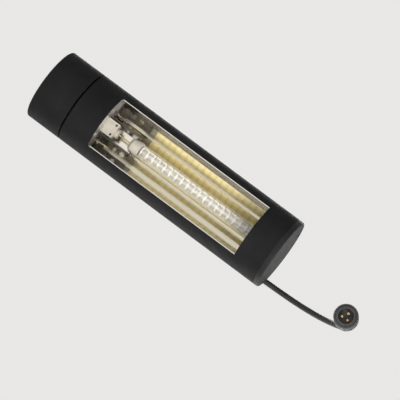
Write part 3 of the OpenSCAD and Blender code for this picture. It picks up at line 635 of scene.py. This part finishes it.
# ---------------------------------------------------------------- threaded studs
def threaded(z0, z1, r, pitch, cx, cy):
    """A screw thread with a rounded 60 degree form, closed at both ends and chamfered."""
    per, around = 9, 26
    depth = 0.54 * pitch
    rows = int(round((z1 - z0) / pitch * per))
    vs, fs = [], []
    for i in range(rows + 1):
        z = z0 + (z1 - z0) * i / rows
        lead = min(1.0, (z - z0) / (1.2 * pitch) + 0.12, (z1 - z) / (1.2 * pitch) + 0.12)
        for j in range(around):
            t = 2 * math.pi * j / around
            ph = ((z / pitch) - j / around) % 1.0
            tri = abs(ph - 0.5) * 2.0
            tri = min(1.0, max(0.0, (tri - 0.12) / 0.76))
            rr = r - depth * (1 - tri) if lead >= 1 else r - depth * (1 - tri * lead) - 0.25 * pitch * (1 - lead)
            vs.append((cx + rr * math.cos(t), cy + rr * math.sin(t), z))
    for i in range(rows):
        for j in range(around):
            k = (j + 1) % around
            fs.append((i * around + j, i * around + k, (i + 1) * around + k, (i + 1) * around + j))
    fs.append(tuple(range(around - 1, -1, -1)))
    fs.append(tuple(rows * around + j for j in range(around)))
    return vs, fs


def turned(profile, cx, cy, around=48):
    """A solid of revolution about a vertical axis from (r, z) pairs, from the bottom axis point up."""
    vs, fs = [], []
    rings = []
    for r, z in profile:
        if r < 1e-9:
            rings.append([len(vs)])
            vs.append((cx, cy, z))
        else:
            rings.append(list(range(len(vs), len(vs) + around)))
            for j in range(around):
                t = 2 * math.pi * j / around
                vs.append((cx + r * math.cos(t), cy + r * math.sin(t), z))
    for a, b in zip(rings, rings[1:]):
        for j in range(around):
            k = (j + 1) % around
            if len(a) == 1 and len(b) == 1:
                continue
            if len(a) == 1:
                fs.append((a[0], b[k], b[j]))
            elif len(b) == 1:
                fs.append((a[j], a[k], b[0]))
            else:
                fs.append((a[j], a[k], b[k], b[j]))
    return vs, fs


for tag, body in (("a", "knob_plus_y"), ("b", "knob_minus_y")):
    lo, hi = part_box("stud_" + tag)
    cx, cyy = (lo.x + hi.x) / 2, (lo.y + hi.y) / 2
    flange = 28.5 * MM
    shaft = threaded(lo.z, flange + 0.1 * MM, 2.98 * MM, 1.0 * MM, cx, cyy)
    flange_top = flange + 2.5 * MM
    collar = turned(
        [(0, flange), (5.6 * MM, flange), (5.9 * MM, flange + 0.12 * MM), (6.0 * MM, flange + 0.4 * MM), (6.0 * MM, flange_top - 0.4 * MM), (5.9 * MM, flange_top - 0.12 * MM), (5.6 * MM, flange_top), (0, flange_top)],
        cx, cyy,
    )
    v, f = join([shaft, collar])
    stud = new_mesh("threaded_stud_" + tag, v, f, MATS["steel"], smooth=True)
    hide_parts("stud_" + tag)
    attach(stud, body)

# ---------------------------------------------------------------- stage and lights
floor_mat = Mat("studio_floor", Specular_IOR_Level=0.2)
floor_mat.color(floor_mat.mix(floor_mat.remap(floor_mat.noise(0.5, 4.0), 0.3, 0.7, 0.0, 1.0), (0.70, 0.696, 0.688), (0.725, 0.721, 0.713)))
floor_mat.rough(floor_mat.remap(floor_mat.noise(0.02, 3.0), 0.3, 0.7, 0.6, 0.8))
floor = new_mesh("studio_floor", [(-70, -70, -4.0), (70, -70, -4.0), (70, 70, -4.0), (-70, 70, -4.0)], [(0, 1, 2, 3)], floor_mat.mat, smooth=False)

world = bpy.data.worlds.new("soft_studio")
scene.world = world
world.use_nodes = True
wt = world.node_tree
bg = wt.nodes.get("Background") or wt.nodes.new("ShaderNodeBackground")
bg.inputs[0].default_value = (0.835, 0.828, 0.82, 1.0)
bg.inputs[1].default_value = 0.97


def softbox(name, where, target, size, power, tint=(1, 1, 1)):
    d = bpy.data.lights.new(name, "AREA")
    d.shape = "RECTANGLE"
    d.size, d.size_y = size
    d.energy = power
    d.color = tint
    o = bpy.data.objects.new(name, d)
    scene.collection.objects.link(o)
    o.location = where
    o.rotation_euler = (Vector(target) - Vector(where)).to_track_quat("-Z", "Y").to_euler()
    return o


softbox("key_below", (-1.5, -1.5, -1.9), (-0.05, 0, -0.08), (1.4, 1.1), 122.0, (1.0, 0.99, 0.965))
softbox("fill_below", (1.5, 1.25, -2.2), (-0.05, 0, -0.08), (1.5, 1.1), 12.0, (0.98, 0.985, 0.99))
softbox("end_soft", (-2.1, -1.2, 1.2), (-0.16, 0, -0.07), (2.4, 2.0), 16.0)
softbox("over_head", (0.35, 0.75, 2.3), (-0.05, 0, -0.03), (1.8, 1.2), 48.0, (1.0, 0.995, 0.985))
softbox("over_front", (-0.5, -1.6, 1.6), (-0.05, 0, -0.03), (1.4, 1.0), 26.0, (1.0, 0.995, 0.985))
softbox("cap_side", (2.4, 0.3, 0.9), (0.1, 0, -0.06), (1.0, 0.8), 80.0)

scene.view_settings.view_transform = "Standard"
scene.view_settings.look = "None"
